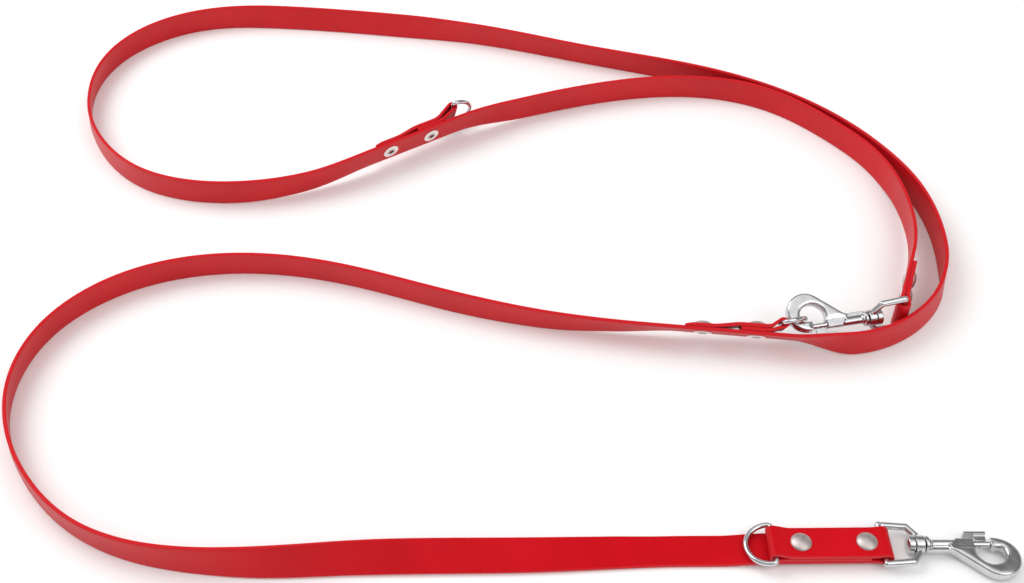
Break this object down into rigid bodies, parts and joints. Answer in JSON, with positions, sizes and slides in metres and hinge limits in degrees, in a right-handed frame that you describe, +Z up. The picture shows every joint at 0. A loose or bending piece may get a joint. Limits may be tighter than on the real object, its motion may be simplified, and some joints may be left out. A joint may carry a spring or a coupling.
{
  "type": "training leash",
  "caption": "Adjustable training leash: one long red strap with a swivel bolt snap at each end and riveted D-rings; one snap is clipped back to a ring, making a hand loop.",
  "frame": {"origin": "on the table, under the middle of the strap's flat run next to the hook end", "axes": "+X along the hook end towards the first snap, +Y from the hook end towards the hand loop, +Z up"},
  "size_m": [0.5032, 0.4427, 0.0257],
  "materials": {
    "strap": "smooth coated, slight sheen",
    "rivet_caps": "satin nickel",
    "washers": "satin",
    "ring_wire": "polished nickel",
    "snap_metal": "polished nickel",
    "spring_wire": "plain"
  },
  "bodies": {
    "strap": {"main_strap": "strap", "ring2_tab": "strap", "ring3_tab": "strap", "hook1_rivets": "rivet_caps", "hook1_washers": "washers", "ring2_rivets": "rivet_caps", "ring2_washers": "washers", "ring3_rivets": "rivet_caps", "ring3_washers": "washers", "hook2_rivets": "rivet_caps", "hook2_washers": "washers"},
    "ring_1": {"d_ring_1": "ring_wire"},
    "ring_2": {"d_ring_2": "ring_wire"},
    "ring_3": {"d_ring_3": "ring_wire"},
    "snap1_swivel_eye": {"snap1_eye": "snap_metal"},
    "snap1_hook": {"snap1_body": "snap_metal", "snap1_spring": "spring_wire"},
    "snap1_slider": {"snap1_bolt": "snap_metal", "snap1_thumb_stud": "snap_metal"},
    "snap2_swivel_eye": {"snap2_eye": "snap_metal"},
    "snap2_hook": {"snap2_body": "snap_metal", "snap2_spring": "spring_wire"},
    "snap2_slider": {"snap2_bolt": "snap_metal", "snap2_thumb_stud": "snap_metal"}
  },
  "joints": [
    {"name": "ring1_tilt", "type": "hinge", "parent": "strap", "child": "ring_1", "pos_m": [0.0246, 0, 0.00658], "axis": [0, 1, 0], "range_deg": [0, 150]},
    {"name": "ring2_tilt", "type": "hinge", "parent": "strap", "child": "ring_2", "pos_m": [0.04671, 0.12856, 0.01473], "axis": [-0.075, -0.6111, 0.788], "range_deg": [-1, 3]},
    {"name": "ring3_tilt", "type": "hinge", "parent": "strap", "child": "ring_3", "pos_m": [-0.12739, 0.30725, 0.01486], "axis": [0.1812, -0.29, 0.9397], "range_deg": [-5, 70]},
    {"name": "snap1_eye_tilt", "type": "hinge", "parent": "strap", "child": "snap1_swivel_eye", "pos_m": [0.0742, 0.0004, 0.0046], "axis": [0, -1, 0], "range_deg": [0, 90]},
    {"name": "snap1_swivel", "type": "hinge", "parent": "snap1_swivel_eye", "child": "snap1_hook", "pos_m": [0.0912, 0.0004, 0.0043], "axis": [0.9998, 0, -0.0175], "continuous": true},
    {"name": "snap1_bolt_slide", "type": "slide", "parent": "snap1_hook", "child": "snap1_slider", "axis": [-0.9998, 0, 0.0175], "range_m": [0, 0.007], "stiffness_N_per_m": 250, "springref_m": -0.004, "deforming": ["snap1_spring"]},
    {"name": "snap2_eye_tilt", "type": "hinge", "parent": "strap", "child": "snap2_swivel_eye", "pos_m": [0.11068, 0.13803, 0.0124], "axis": [0, 0, 1], "range_deg": [-0.4, 0.3]},
    {"name": "snap2_swivel", "type": "hinge", "parent": "snap2_swivel_eye", "child": "snap2_hook", "pos_m": [0.09401, 0.1347, 0.01249], "axis": [-0.9806, -0.1959, 0.0052], "range_deg": [-4, 4]},
    {"name": "snap2_bolt_slide", "type": "slide", "parent": "snap2_hook", "child": "snap2_slider", "axis": [0.9806, 0.1959, -0.0052], "range_m": [0, 0.007], "stiffness_N_per_m": 250, "springref_m": -0.004, "deforming": ["snap2_spring"]}
  ]
}
